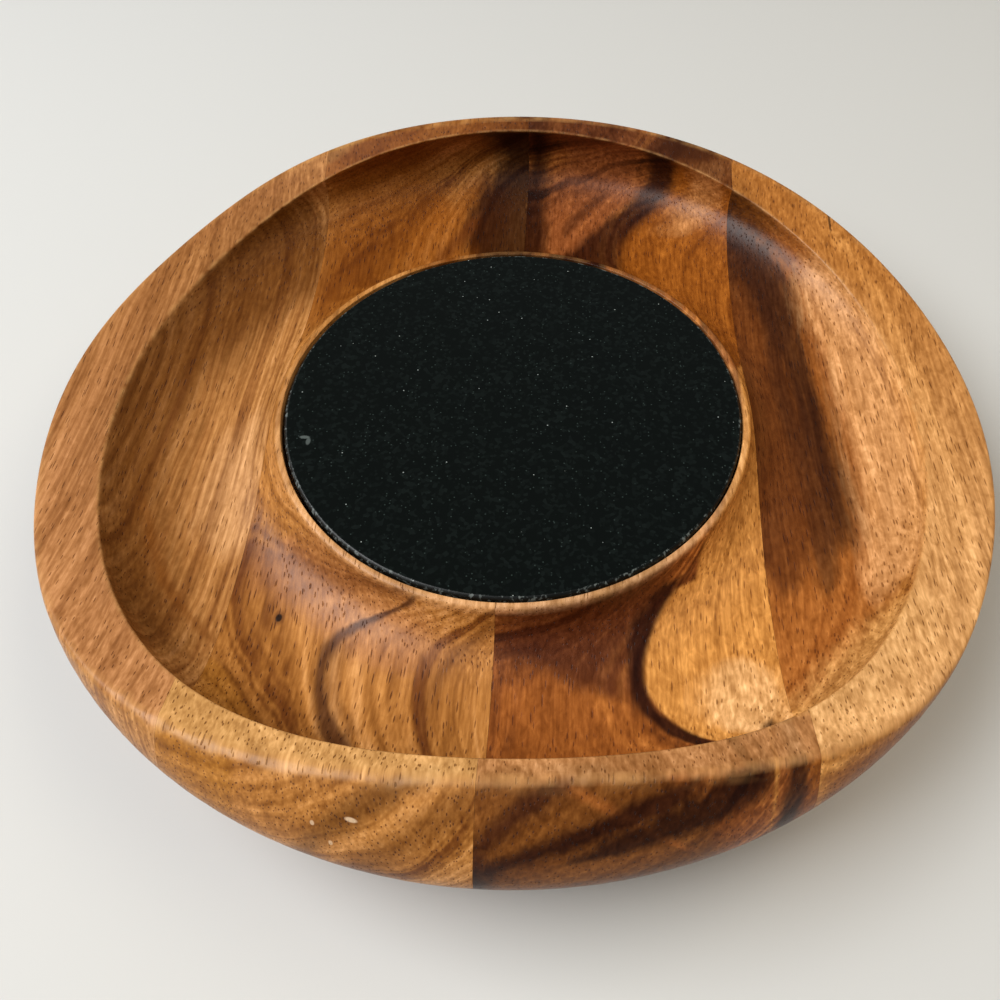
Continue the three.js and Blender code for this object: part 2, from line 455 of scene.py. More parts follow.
def cut_board(body, name, left, right):
    """One board: the part of the body between two glue joints, closed with flat faces."""
    bm = bmesh.new()
    bm.from_mesh(body)
    for face in bm.faces:
        face.smooth = True
    for place, side in ((left, -1), (right, 1)):
        if place is None:
            continue
        everything = bm.verts[:] + bm.edges[:] + bm.faces[:]
        cut = bmesh.ops.bisect_plane(
            bm, geom=everything, plane_co=(place * MM, 0, 0), plane_no=(side, 0, 0), clear_outer=True
        )
        rim = [e for e in cut["geom_cut"] if isinstance(e, bmesh.types.BMEdge)]
        filled = bmesh.ops.contextual_create(bm, geom=rim)["faces"]
        if not filled:
            raise RuntimeError(f"{name}: the glue joint at {place} mm wasn't closed")
        for face in filled:
            face.smooth = False
        for edge in rim:
            edge.smooth = False
        bmesh.ops.triangulate(bm, faces=filled)
    bmesh.ops.recalc_face_normals(bm, faces=bm.faces)
    mesh = bpy.data.meshes.new(name)
    bm.to_mesh(mesh)
    bm.free()
    return mesh


# ---- Materials ----

# Sockets that have no name of their own: a colour mix's two colours, and a map range's two ranges.
MIX_A, MIX_B = 6, 7
FROM_MIN, FROM_MAX, TO_MIN, TO_MAX = 1, 2, 3, 4


def add(tree, kind, inputs=None, **settings):
    """Adds a shader node. inputs gives each input a value, or the node or socket that it is linked to."""
    node = tree.nodes.new("ShaderNode" + kind)
    for name, value in settings.items():
        setattr(node, name, value)
    for key, value in (inputs or {}).items():
        if isinstance(value, bpy.types.Node):
            value = next(s for s in value.outputs if s.enabled)
        if isinstance(value, bpy.types.NodeSocket):
            tree.links.new(value, node.inputs[key])
        else:
            node.inputs[key].default_value = value
    return node


def new_material(name):
    """An empty material with its output node."""
    material = bpy.data.materials.new(name)
    material.use_nodes = True
    tree = material.node_tree
    tree.nodes.clear()
    return material, tree


def finish_material(tree, shader, height=None, relief=0.0):
    """Joins the shader to the output, with relief in metres where the grain can be felt."""
    if height is not None:
        bump = add(tree, "Bump", {"Height": height, "Distance": relief, "Strength": 1.0})
        tree.links.new(bump.outputs[0], shader.inputs["Normal"])
    add(tree, "OutputMaterial", {"Surface": shader})


def in_millimetres(tree):
    """The shaded point in the piece's own coordinates, in mm."""
    place = add(tree, "TexCoord")
    return add(tree, "VectorMath", {0: place.outputs["Object"], 3: 1 / MM}, operation="SCALE")


def pattern(tree, kind, point, size, inputs=None):
    """Adds a noise, or a field of cells, whose features have this size in mm along each axis."""
    at = add(tree, "VectorMath", {0: point, 1: size}, operation="DIVIDE")
    return add(tree, kind, {"Vector": at, "Scale": 1.0, **(inputs or {})})


def painted(tree, colour, over, *shares):
    """Lays one colour over another, by the product of these shares."""
    share = shares[0]
    for other in shares[1:]:
        share = add(tree, "Math", {0: share, 1: other}, operation="MULTIPLY")
    return add(tree, "Mix", {0: share, MIX_A: colour, MIX_B: over}, data_type="RGBA")


FIGURE_REACH = 320.0  # mm that the figures' curves cover, centred on the axis
FIGURE_CLOSED = -1.8  # half width of a figure past its end, as a share of its soft edge
MARK_FADE = (0.7, 1.1)  # where a mark fades out, as shares of its radii


def figure_mask(tree, along, across, points, soft, streak):
    """How strongly a dark or pale figure shows, be it grain, painted shade or a painted highlight: 1 inside
    it, 0 outside.

    points are (y, x, half width) in mm, and a half width of 0 ends the figure. Its edge fades over soft mm,
    and streak, the fine-line value, frays it.
    """
    closed = FIGURE_CLOSED * soft
    points = [(y, x, half_width or closed) for y, x, half_width in points]
    lanes = []
    for k in (1, 2):
        lane = add(tree, "FloatCurve", {"Value": along})
        curve = lane.mapping.curves[0]
        places = sorted((0.5 + p[0] / FIGURE_REACH, 0.5 + p[k] / FIGURE_REACH) for p in points)
        first, last = places[0], places[-1]
        curve.points[0].location = first
        curve.points[1].location = last
        for place in places[1:-1]:
            curve.points.new(*place)
        for point in curve.points:
            point.handle_type = "AUTO_CLAMPED"
        lane.mapping.extend = "HORIZONTAL"
        lane.mapping.update()
        scale = {0: lane, 1: FIGURE_REACH, 2: -FIGURE_REACH / 2}
        lanes.append(add(tree, "Math", scale, operation="MULTIPLY_ADD"))
    offset = add(tree, "Math", {0: across, 1: lanes[0]}, operation="SUBTRACT")
    distance = add(tree, "Math", {0: offset}, operation="ABSOLUTE")
    outside = add(tree, "Math", {0: distance, 1: lanes[1]}, operation="SUBTRACT")
    frayed = add(tree, "Math", {0: streak, 1: soft, 2: outside}, operation="MULTIPLY_ADD")
    return add(
        tree,
        "MapRange",
        {0: frayed, FROM_MIN: -soft, FROM_MAX: soft, TO_MIN: 1.0, TO_MAX: 0.0},
        interpolation_type="SMOOTHSTEP",
    )


def with_marks(tree, colour, point, marks):
    """The colour with small ellipsoid marks, each (colour, strength, centre, radii) in mm."""
    for hex_colour, strength, centre, radii in marks:
        away = add(tree, "VectorMath", {0: point, 1: centre}, operation="SUBTRACT")
        scaled = add(tree, "VectorMath", {0: away, 1: radii}, operation="DIVIDE")
        reach = add(tree, "VectorMath", {0: scaled}, operation="LENGTH").outputs["Value"]
        fade = {0: reach, FROM_MIN: MARK_FADE[0], FROM_MAX: MARK_FADE[1], TO_MIN: strength, TO_MAX: 0.0}
        mask = add(tree, "MapRange", fade)
        colour = painted(tree, colour, linear(hex_colour), mask)
    return colour


# Small chips in the stone's ground edge, and one scuff on its face, as marks. The pale grey marks along the
# front-left edge are also a painted highlight where the chamfer catches the light.
STONE_MARKS_AND_GLINTS = [
    ("#7d8886", 0.4, (-66.5, -18.5, 40), (1.8, 0.7, 2)),
    ("#7d8886", 0.35, (-65.0, -20.2, 40), (0.8, 1.6, 2)),
    ("#97a19f", 0.8, (-75.0, -15.5, 40), (0.8, 2.6, 2.5)),
    ("#8b9694", 0.8, (-73.2, -22.5, 40), (0.9, 2.2, 2.5)),
    ("#8b9694", 0.7, (-69.8, -31.5, 40), (0.9, 2.8, 2.5)),
    ("#97a19f", 0.8, (-66.2, -38.4, 40), (1.0, 1.6, 2.5)),
    ("#8b9694", 0.7, (-59.4, -48.3, 40), (1.6, 1.0, 2.5)),
    ("#7d8886", 0.7, (-48.6, -59.4, 40), (1.8, 0.8, 2.5)),
]


# Figures are the dark and pale shapes in a board's grain, with some painted shade and painted highlights
# among them, each (colour, strength, soft edge in mm, points).
# The points are (y, x, half width) in mm, seen from above. A half width of 0 ends a figure there. Any other
# at its first or last point carries it on to the board's end. A later figure is drawn over an earlier one.
LEFT_OUTER_FIGURES_AND_PAINTED_LIGHT = [
    ("#80481c", 0.6, 3.0, [
        (-64, -137, 0), (-35, -142.5, 2.4), (0, -144.5, 2.8), (40, -141, 3), (62, -135, 2.4),
        (90, -120, 1.6), (104, -108, 0)]),
    # Painted shade: a dark band at the back-left of the trough.
    ("#733b17", 0.6, 6.0, [
        (52, -146, 0), (80, -126, 5), (95, -112, 7), (107, -98, 5), (112, -84, 3), (117, -78, 0)]),
    ("#c1874b", 0.7, 2.0, [(108, -88, 0), (114, -90, 9), (122, -84, 12), (130, -80, 12)]),
    # Painted shade along the foot of the trough's outer wall, over wood that is darker there too.
    ("#5e3206", 0.85, 12.0, [
        (-108, -76, 0), (-84, -100, 8), (-50, -117, 10), (0, -126, 12), (30, -119, 15), (50, -111, 18),
        (70, -103, 22), (90, -94, 20), (112, -84, 0)]),
    # Paler wood by the pedestal, with a painted highlight on it.
    ("#d8a26c", 0.55, 8.0, [(14, -86, 0), (-8, -90, 5), (-30, -91, 8), (-50, -89, 7), (-66, -84, 0)]),
    ("#743f0f", 0.55, 2.0, [
        (-28, -121, 0), (-45, -114, 1.5), (-70, -101, 1.8), (-87, -84, 1.6), (-94, -76, 0)]),
]

LEFT_INNER_FIGURES = [
    ("#7d430b", 0.8, 9.0, [
        (30, -84, 0), (60, -74, 12), (80, -68, 16), (100, -60, 22), (118, -55, 24), (124, -55, 16)]),
    ("#84470f", 0.8, 8.0, [
        (58, -34, 0), (76, -34, 16), (90, -32, 18), (104, -28, 18), (116, -24, 16), (128, -20, 10),
        (138, -16, 0)]),
    # The dark heart at the back, by the glue joint.
    ("#2c1004", 0.92, 6.0, [
        (60, -6, 0), (74, -6, 12), (85, -6, 14), (95, -7, 16), (105, -8, 17), (115, -8, 16), (124, -8, 14),
        (131, -6, 12), (136, -4, 9)]),
    ("#5c2c0c", 0.7, 3.0, [(66, -40, 0), (80, -36, 3), (94, -31, 3), (108, -24, 3), (120, -18, 0)]),
    ("#64320a", 0.6, 1.8, [
        (114, -52, 0), (107, -56.7, 1.5), (91, -64.8, 1.8), (79, -73, 1.6), (72, -80, 0)]),
    ("#c89758", 0.75, 3.0, [
        (112, -84, 0), (118, -80, 3), (124, -76, 6), (130, -68, 8), (136, -58, 8), (142, -48, 0)]),
    ("#a2683a", 0.7, 8.0, [
        (-48, -64, 0), (-57, -66, 10), (-66, -58, 16), (-76, -44, 18), (-84, -34, 16), (-92, -28, 8),
        (-98, -24, 0)]),
    # The dark hook in front of the disc, and the lines inside it.
    ("#44210e", 0.88, 2.2, [
        (-74, -20, 0), (-76.5, -27, 2.5), (-78, -34, 3.4), (-80, -40, 3.4), (-83, -45, 3),
        (-88, -48.6, 2.6), (-95, -49.5, 2.2), (-103, -48, 2.2), (-110, -44.6, 2.8), (-117, -40, 4),
        (-122, -37, 3), (-124, -36, 0)]),
    ("#562d14", 0.5, 2.5, [
        (-81, -37, 0), (-88, -44.0, 1.4), (-95, -45.0, 1.2), (-103, -43.6, 1.3), (-112, -38, 1.8),
        (-118, -34, 0)]),
    ("#653918", 0.5, 3.0, [
        (-78, 6, 0), (-81.5, 0, 2.4), (-84.7, -5.8, 2), (-89.7, -12, 1.6), (-95.3, -15.8, 1.4),
        (-101, -17.7, 1.3), (-109, -18.3, 1.3), (-117, -17.7, 1.2), (-124, -17, 0)]),
    # The front wall.
    ("#6b4016", 0.75, 5.0, [
        (-128, -4, 0), (-134, -12, 4), (-139, -22, 6), (-145, -33, 6), (-149, -42, 4), (-152, -50, 0)]),
    ("#7a4a1d", 0.6, 4.0, [(-134, 0, 0), (-141, -6, 5), (-147, -16, 6), (-152, -28, 5), (-156, -40, 0)]),
    ("#9f651c", 0.55, 2.0, [
        (-91, -84, 0), (-98, -79, 4), (-105, -75, 6.5), (-112, -73, 10), (-118, -71, 12)]),
    ("#6e3d11", 0.6, 1.0, [
        (-90, -83, 0), (-98, -75, 0.9), (-105, -68.8, 1), (-112, -63.4, 1), (-119, -58, 0)]),
]

RIGHT_INNER_FIGURES_AND_PAINTED_LIGHT = [
    ("#8e4e1a", 0.75, 9.0, [
        (-84, 14, 0), (-90, 16, 8), (-98, 22, 18), (-108, 25, 24), (-118, 28, 28), (-126, 30, 30)]),
    ("#6b3f16", 0.75, 6.0, [(-128, 24, 0), (-134, 24, 24), (-142, 24, 34), (-160, 24, 40)]),
    ("#8a4c26", 0.65, 5.0, [
        (80, 17, 0), (94, 18, 8), (108, 20, 12), (120, 24, 15), (130, 28, 16), (136, 30, 12)]),
    ("#8d4d12", 0.9, 3.0, [
        (30, 84, 6), (50, 80, 14), (70, 72, 24), (80, 68, 29), (90, 67, 30), (97, 66, 28), (104, 67, 27),
        (110, 70, 26), (116, 74, 24), (122, 78, 22), (128, 82, 17), (136, 88, 14)]),
    # A painted highlight on the back of the trough, near the rim.
    ("#c98a50", 0.5, 8.0, [(100, 60, 0), (108, 64, 8), (114, 70, 9), (119, 74, 7), (124, 80, 0)]),
    # The dark heart at the back.
    ("#2a0d03", 0.92, 4.0, [
        (62, 20, 0), (74, 21, 12), (80, 24, 14), (88, 26, 13), (96, 29, 10), (104, 33, 8.5), (110, 38, 8),
        (116, 44, 8), (122, 51, 8), (128, 59, 7), (134, 68, 6), (140, 76, 4)]),
    ("#260c03", 0.9, 4.0, [
        (62, 0, 0), (76, 0, 7), (90, 0, 9), (104, 0, 9), (116, 1, 7), (126, 2, 6), (136, 4, 4)]),
    ("#4a220c", 0.7, 2.0, [(100, 16, 0), (108, 18, 2), (116, 22, 3), (122, 28, 3), (130, 36, 0)]),
    ("#a55f28", 0.7, 3.0, [(-128, 8, 0), (-133, 16, 2), (-139, 30, 3), (-143, 44, 3), (-145, 52, 0)]),
    # The dark bands of the front wall.
    ("#341306", 0.85, 4.0, [(-126, 30, 0), (-131, 26, 3), (-137, 16, 4.5), (-143, 8, 4), (-149, 0, 3)]),
    ("#2c0e03", 0.92, 3.5, [
        (-128, 54, 0), (-133, 48, 4), (-139, 37, 5), (-144, 26, 5), (-149, 12, 4), (-153, 0, 3)]),
    ("#240a02", 0.92, 3.0, [
        (-122, 68, 0), (-128, 64, 5), (-134, 57, 6.5), (-140, 46, 6), (-146, 32, 4.5), (-152, 14, 0)]),
    ("#4a200c", 0.85, 11.0, [
        (-54, 54, 0), (-66, 44, 8), (-74, 32, 16), (-80, 24, 24), (-85, 22, 24), (-90, 26, 16),
        (-96, 34, 8), (-104, 44, 0)]),
    # The tongue of sapwood, a paler patch in it that is partly a painted highlight, and the dark line round
    # it.
    ("#cc8a42", 0.95, 1.0, [
        (40, 84, 0), (20, 84, 6), (-10, 83, 7), (-44, 79, 14), (-55, 75, 15), (-60, 75, 16), (-66, 72, 20),
        (-73, 70, 22), (-81, 68, 23.3), (-90, 67, 23.6), (-100, 68, 22), (-106, 70, 18.6), (-110, 70, 13),
        (-113, 70, 0)]),
    # Paler wood in the tongue, with a painted highlight on it.
    ("#e9b67c", 0.6, 6.0, [(-80, 72, 0), (-90, 70, 9), (-98, 70, 11), (-106, 71, 8), (-111, 71, 0)]),
    ("#280c03", 0.92, 1.5, [
        (-58, 58, 0), (-66, 50, 2), (-72, 45.5, 2.6), (-80, 42.5, 2.8), (-90, 41.4, 2.2), (-100, 43.6, 2.4),
        (-106, 48.6, 2.8), (-110, 54, 3.4), (-112.5, 60, 3.6), (-115, 66, 0)]),
    ("#2e1204", 0.9, 1.4, [
        (-103, 77, 0), (-107, 75.5, 1.8), (-112, 75, 2), (-118, 75.5, 2.2), (-126, 76, 2.6),
        (-134, 74, 2.4), (-141, 70, 0)]),
]

RIGHT_OUTER_FIGURES_AND_PAINTED_LIGHT = [
    # The long dark band in the trough.
    ("#96531f", 0.8, 8.0, [
        (112, 82, 14), (90, 92, 18), (60, 98, 22), (30, 98, 24), (0, 98, 24), (-30, 98, 23), (-60, 96, 20),
        (-80, 92, 15), (-96, 88, 10), (-110, 84, 0)]),
    ("#5c2d0c", 0.85, 6.0, [
        (106, 80, 8), (70, 84, 14), (40, 87, 15), (10, 90, 16), (-12, 90, 15), (-32, 89, 13), (-52, 87, 9),
        (-72, 85, 0)]),
    ("#2a1005", 0.85, 6.0, [
        (122, 80, 0), (114, 82, 7), (100, 86, 9), (85, 92, 10), (70, 97, 9), (55, 100, 7.5), (40, 102, 6.5),
        (20, 104, 6), (0, 105, 5.4), (-25, 107, 5), (-42, 107, 3.6), (-56, 106, 0)]),
    ("#43200a", 0.7, 3.0, [
        (60, 92, 0), (30, 95, 3), (0, 98, 4), (-30, 100, 4), (-55, 99, 3.4), (-72, 97, 0)]),
    # A painted highlight on the right of the trough, where it rises towards the wall and faces left.
    ("#e0a46a", 0.65, 6.0, [
        (92, 104, 0), (70, 113, 6), (40, 120, 8), (0, 124, 9), (-30, 122, 8), (-56, 116, 6), (-78, 105, 0)]),
    # Painted shade on the outer wall at the front right.
    ("#8a4d14", 0.85, 3.0, [(-80, 133, 0), (-96, 122, 6), (-106, 114, 7), (-116, 104, 8), (-126, 92, 8)]),
    ("#9b5a1d", 0.6, 8.0, [(84, 122, 0), (96, 110, 10), (106, 98, 12), (118, 88, 9), (126, 80, 4)]),
    # Paler rim at the front right, with a painted highlight on it.
    ("#dea660", 0.55, 8.0, [(-56, 126, 0), (-75, 115, 8), (-95, 98, 10), (-106, 88, 8), (-114, 80, 0)]),
]

# Every board is acacia, turned with the grain along Y and rubbed with oil: warm, low sheen, open pores.
# span: the board's left and right glue joints, in mm. pith: the (x, z) place of the tree's centre, in mm.
# tones: from the palest wood to the darkest heart. pores: the share of pore cells that are open.
# rim_tone: the rim top's colour at the front and at the back, and its strength.
# pore_depth: how much light an open pore takes away. flecks: how strongly the curly grain plays.
# marks: pin knots, cracks and scuffs, as with_marks takes them.
BOARDS = {
    "stave_left_outer": {
        "slot": "acacia_left_outer",
        "finish": "acacia_pink_tan_oiled",
        "span": (None, -BOARD_WIDTH),
        "pith": (-430.0, -60.0),
        "tones": ["#b77f4a", "#ab743d", "#a06935", "#905a2b"],
        "rim_tone": ("#b47a4c", "#9c6636", 0.75),
        "pores": 0.6,
        "pore_depth": 0.5,
        "flecks": 0.16,
        "marks": [],
        "figures_and_painted_light": LEFT_OUTER_FIGURES_AND_PAINTED_LIGHT,
    },
    "stave_left_inner": {
        "slot": "acacia_left_inner",
        "finish": "acacia_light_tan_oiled",
        "span": (-BOARD_WIDTH, 0.0),
        "pith": (-83.0, 150.0),
        "tones": ["#c2864a", "#b17538", "#9d642b", "#7a451a"],
        "rim_tone": ("#d9a566", "#784219", 0.7),
        "pores": 0.85,
        "pore_depth": 0.6,
        "flecks": 0.13,
        "marks": [
            ("#5a3014", 0.5, (-65.2, -78.3, 30), (1.9, 2.8, 20)),
            ("#140804", 0.95, (-65.2, -78.3, 30), (1.1, 1.5, 20)),
            ("#f0d2ae", 0.65, (-28.5, -142.5, 54.0), (1.7, 4, 0.45)),
            ("#f0d2ae", 0.55, (-38.0, -143.5, 51.5), (0.6, 4, 0.5)),
            ("#eccaa2", 0.6, (-33.5, -146.5, 48.6), (0.6, 4, 0.6)),
        ],
        "figures_and_painted_light": LEFT_INNER_FIGURES,
    },
    "stave_right_inner": {
        "slot": "acacia_right_inner",
        "finish": "acacia_chocolate_oiled",
        "span": (0.0, BOARD_WIDTH),
        "pith": (-17.0, 169.0),
        "tones": ["#b06a2e", "#8f5022", "#713c18", "#40200e"],
        "rim_tone": ("#b98250", "#4c2510", 0.75),
        "pores": 0.6,
        "pore_depth": 0.5,
        "flecks": 0.28,
        "marks": [("#3c1c0b", 0.7, (66, 128, 56), (15, 9, 10))],
        "figures_and_painted_light": RIGHT_INNER_FIGURES_AND_PAINTED_LIGHT,
    },
    "stave_right_outer": {
        "slot": "acacia_right_outer",
        "finish": "acacia_golden_oiled",
        "span": (BOARD_WIDTH, None),
        "pith": (60.0, -150.0),
        "tones": ["#d3944f", "#c1803c", "#ab6c2e", "#87501f"],
        "rim_tone": ("#dba66c", "#a86a2e", 0.72),
        "pores": 0.7,
        "pore_depth": 0.5,
        "flecks": 0.26,
        "marks": [("#2a1206", 0.8, (117.4, 94.6, 50), (0.5, 6.5, 20))],
        "figures_and_painted_light": RIGHT_OUTER_FIGURES_AND_PAINTED_LIGHT,
    },
}

# The grain's patterns: size in mm across, along and across the grain.
SWAYS = [((46, 150, 46), 11.0), ((8, 34, 8), 1.6)]  # the grain wanders: slow sway, short curl, reach in mm
STREAK_SIZE = (3.4, 46, 3.4)
FIBRE_SIZE = (0.9, 30, 0.9)
CURL_SIZE = (1.7, 3.8, 1.7)
PORE_SIZE = (0.8, 8, 0.8)
PORE_EDGE = (0.16, 0.3)  # where a pore fades out, as a share of its cell
RUB_SIZE = (5, 5, 2.5)

RING_SPACINGS = (9.0, 1.9)  # broad zones of colour, and fine rings, in mm
ZONE_SHARE, STREAK_SHARE, FINE_SHARE = 0.36, 0.3, 0.34
TONE_STOPS = (0.36, 0.46, 0.56, 0.68)
FIGURE_LEAN = 0.35  # how far a figure follows the wandering grain
FIGURE_FRAY = 2.4
RIM_TONE_TURN = (0.2, 0.72)  # where the rim's tone turns from front to back, along the body's length
LIP_FADE = (LIP_OUTER_RADIUS - 1.2, LIP_OUTER_RADIUS + 1)
LIP_RUBBED = ("#d6a372", 0.8)
ARRIS_RUBBED_AND_HIGHLIGHT = ("#d9a466", 0.4)
FIBRE_PLAY = (1.1, 0.45)  # how much the fibre lines vary the light, and the least that they leave
GREEN_FALL, BLUE_FALL = 1.25, 1.7  # dark lines are redder than pale ones
CURL_GLOSS = 0.16
PORE_DULLNESS = 0.2
FIBRE_RELIEF, PORE_RELIEF = 0.35, -0.6  # shares of the grain's relief
GRAIN_RELIEF = 0.00012  # metres


def acacia(board, sheen):
    """The oiled acacia of one board, as solid figured wood."""
    material, tree = new_material(board["finish"])
    point = in_millimetres(tree)

    swayed = point
    for size, amount in SWAYS:
        noise = pattern(tree, "TexNoise", point, size, {"Detail": 2.0}).outputs["Color"]
        centred = add(tree, "VectorMath", {0: noise, 1: (0.5, 0.5, 0.5)}, operation="SUBTRACT")
        moved = add(tree, "VectorMath", {0: centred, 3: amount}, operation="SCALE")
        swayed = add(tree, "VectorMath", {0: swayed, 1: moved}, operation="ADD")

    # Growth rings lie about the pith, which runs along Y.
    pith_x, pith_z = board["pith"]
    from_pith = add(tree, "VectorMath", {0: swayed, 1: (pith_x, 0, pith_z)}, operation="SUBTRACT")
    flat = add(tree, "VectorMath", {0: from_pith, 1: (1, 0, 1)}, operation="MULTIPLY")
    ring = add(tree, "VectorMath", {0: flat}, operation="LENGTH").outputs["Value"]
    layers = []
    for spacing in RING_SPACINGS:
        at = add(tree, "Math", {0: ring, 1: spacing}, operation="DIVIDE")
        noise = {"W": at, "Scale": 1.0, "Detail": 2.0}
        layers.append(add(tree, "TexNoise", noise, noise_dimensions="1D"))
    zones, fine = layers

    # Fibres about 0.5 mm wide and 15 mm long, drawn twice as wide as real ones so that they show.
    fibre = pattern(tree, "TexNoise", swayed, FIBRE_SIZE, {"Detail": 2.0})
    streaks = pattern(tree, "TexNoise", swayed, STREAK_SIZE, {"Detail": 3.0, "Roughness": 0.6})

    mixed = add(tree, "Math", {0: fine, 1: FINE_SHARE}, operation="MULTIPLY")
    mixed = add(tree, "Math", {0: streaks, 1: STREAK_SHARE, 2: mixed}, operation="MULTIPLY_ADD")
    tone = add(tree, "Math", {0: zones, 1: ZONE_SHARE, 2: mixed}, operation="MULTIPLY_ADD")
    colour = add(tree, "ValToRGB", {0: tone})
    stops = colour.color_ramp.elements
    tones = [linear(hex_colour) for hex_colour in board["tones"]]
    stops[0].position, stops[1].position = TONE_STOPS[0], TONE_STOPS[-1]
    stops[0].color, stops[1].color = tones[0], tones[-1]
    for position, between in zip(TONE_STOPS[1:-1], tones[1:-1]):
        stops.new(position).color = between

    # Figures follow the wandering grain a little, so their edges aren't drawn with a ruler.
    split = add(tree, "SeparateXYZ", {0: point})
    bent = add(tree, "SeparateXYZ", {0: swayed})
    straight = split.outputs["X"]
    lean = add(tree, "Math", {0: bent.outputs["X"], 1: straight}, operation="SUBTRACT")
    across = add(tree, "Math", {0: lean, 1: FIGURE_LEAN, 2: straight}, operation="MULTIPLY_ADD")
    length = {0: split.outputs["Y"], 1: 1 / FIGURE_REACH, 2: 0.5}
    along = add(tree, "Math", length, operation="MULTIPLY_ADD")
    fray = {0: streaks, 1: FIGURE_FRAY, 2: -FIGURE_FRAY / 2}
    streak = add(tree, "Math", fray, operation="MULTIPLY_ADD")
    for hex_colour, strength, soft, points in board["figures_and_painted_light"]:
        mask = figure_mask(tree, along, across, points, soft, streak)
        colour = painted(tree, colour, linear(hex_colour), mask, strength)

    # The rim's top gets a tone of its own, one at the front and another at the back.
    rim = add(tree, "Attribute", attribute_name="rim_face").outputs["Fac"]
    front_tone, back_tone, rim_strength = board["rim_tone"]
    turn = {0: along, FROM_MIN: RIM_TONE_TURN[0], FROM_MAX: RIM_TONE_TURN[1]}
    behind = add(tree, "MapRange", turn)
    rim_tone = painted(tree, linear(front_tone), linear(back_tone), behind)
    colour = painted(tree, colour, rim_tone, rim, rim_strength)

    # The thin lip round the stone is rubbed pale too, most of all at the front.
    from_axis = add(tree, "VectorMath", {0: point, 1: (1, 1, 0)}, operation="MULTIPLY")
    reach = add(tree, "VectorMath", {0: from_axis}, operation="LENGTH").outputs["Value"]
    lip_colour, lip_strength = LIP_RUBBED
    fade = {0: reach, FROM_MIN: LIP_FADE[0], FROM_MAX: LIP_FADE[1], TO_MIN: lip_strength, TO_MAX: 0.0}
    lip = add(tree, "MapRange", fade)
    lip = add(tree, "Math", {0: lip, 1: behind}, operation="SUBTRACT", use_clamp=True)
    colour = painted(tree, colour, linear(lip_colour), lip)

    # Light plays in the curly grain as flecks of about 2 by 4 mm, and in the fibres as fine lines. Pale wood
    # plays more than dark wood.
    curl = pattern(tree, "TexNoise", swayed, CURL_SIZE, {"Detail": 2.0, "Distortion": 0.6})
    flecks = board["flecks"]
    fleck = add(tree, "Math", {0: curl, 1: 4 * flecks, 2: 1 - 2 * flecks}, operation="MULTIPLY_ADD")
    lines = add(tree, "Math", {0: fibre, 1: FIBRE_PLAY[0], 2: FIBRE_PLAY[1]}, operation="MULTIPLY_ADD")
    play = add(tree, "Math", {0: fleck, 1: lines}, operation="MULTIPLY")
    shading = {0: tone, FROM_MIN: 0.38, FROM_MAX: 0.64, TO_MIN: 1.2, TO_MAX: 0.76}
    shade = add(tree, "MapRange", shading)
    play = add(tree, "Math", {0: play, 1: shade}, operation="MULTIPLY")

    # Open pores: dashes about 0.4 mm wide and 4 mm long, which turn to dots where a slope cuts the grain.
    # They are drawn about twice as wide as real ones so that they show.
    cells = pattern(tree, "TexVoronoi", swayed, PORE_SIZE, {"Randomness": 1.0})
    chance = add(tree, "SeparateColor", {0: cells.outputs["Color"]})
    open_here = add(tree, "Math", {0: chance, 1: board["pores"]}, operation="LESS_THAN")
    edge = {FROM_MIN: PORE_EDGE[0], FROM_MAX: PORE_EDGE[1], TO_MIN: 1.0, TO_MAX: 0.0}
    dash = add(tree, "MapRange", {0: cells.outputs["Distance"], **edge}, interpolation_type="SMOOTHSTEP")
    pore = add(tree, "Math", {0: dash, 1: open_here}, operation="MULTIPLY")
    dimmed = {0: pore, 1: -board["pore_depth"], 2: 1.0}
    light_left = add(tree, "Math", dimmed, operation="MULTIPLY_ADD")
    play = add(tree, "Math", {0: play, 1: light_left}, operation="MULTIPLY")
    green = add(tree, "Math", {0: play, 1: GREEN_FALL}, operation="POWER")
    blue = add(tree, "Math", {0: play, 1: BLUE_FALL}, operation="POWER")
    warm = add(tree, "CombineXYZ", {0: play, 1: green, 2: blue})
    colour = add(tree, "VectorMath", {0: colour, 1: warm}, operation="MULTIPLY")

    # Pin knots and scuffs.
    colour = with_marks(tree, colour, point, board["marks"])

    # Edges are rubbed pale, in broken patches of about 5 mm, and the rim's inner edge gets a painted
    # highlight line the same way.
    arris = add(tree, "Attribute", attribute_name="arris").outputs["Fac"]
    rub = pattern(tree, "TexNoise", point, RUB_SIZE, {"Detail": 3.0})
    rub_and_highlight_colour, rub_and_highlight_strength = ARRIS_RUBBED_AND_HIGHLIGHT
    rubbing_and_highlight = {0: rub, FROM_MIN: 0.35, FROM_MAX: 0.7, TO_MIN: 0.0, TO_MAX: rub_and_highlight_strength}
    patch = add(tree, "MapRange", rubbing_and_highlight)
    colour = painted(tree, colour, linear(rub_and_highlight_colour), arris, patch)

    # Oil sits unevenly on the curl, and not in the pores, which also lie lower than the fibres.
    oiled = {0: curl, 1: CURL_GLOSS, 2: sheen - CURL_GLOSS / 2}
    gloss = add(tree, "Math", oiled, operation="MULTIPLY_ADD")
    gloss = add(tree, "Math", {0: pore, 1: PORE_DULLNESS, 2: gloss}, operation="MULTIPLY_ADD")
    height = add(tree, "Math", {0: fibre, 1: FIBRE_RELIEF}, operation="MULTIPLY")
    height = add(tree, "Math", {0: pore, 1: PORE_RELIEF, 2: height}, operation="MULTIPLY_ADD")
    surface = {"Base Color": colour, "Roughness": gloss, "IOR": 1.46, "Specular IOR Level": 0.3}
    shader = add(tree, "BsdfPrincipled", surface)
    finish_material(tree, shader, height, GRAIN_RELIEF)
    return material


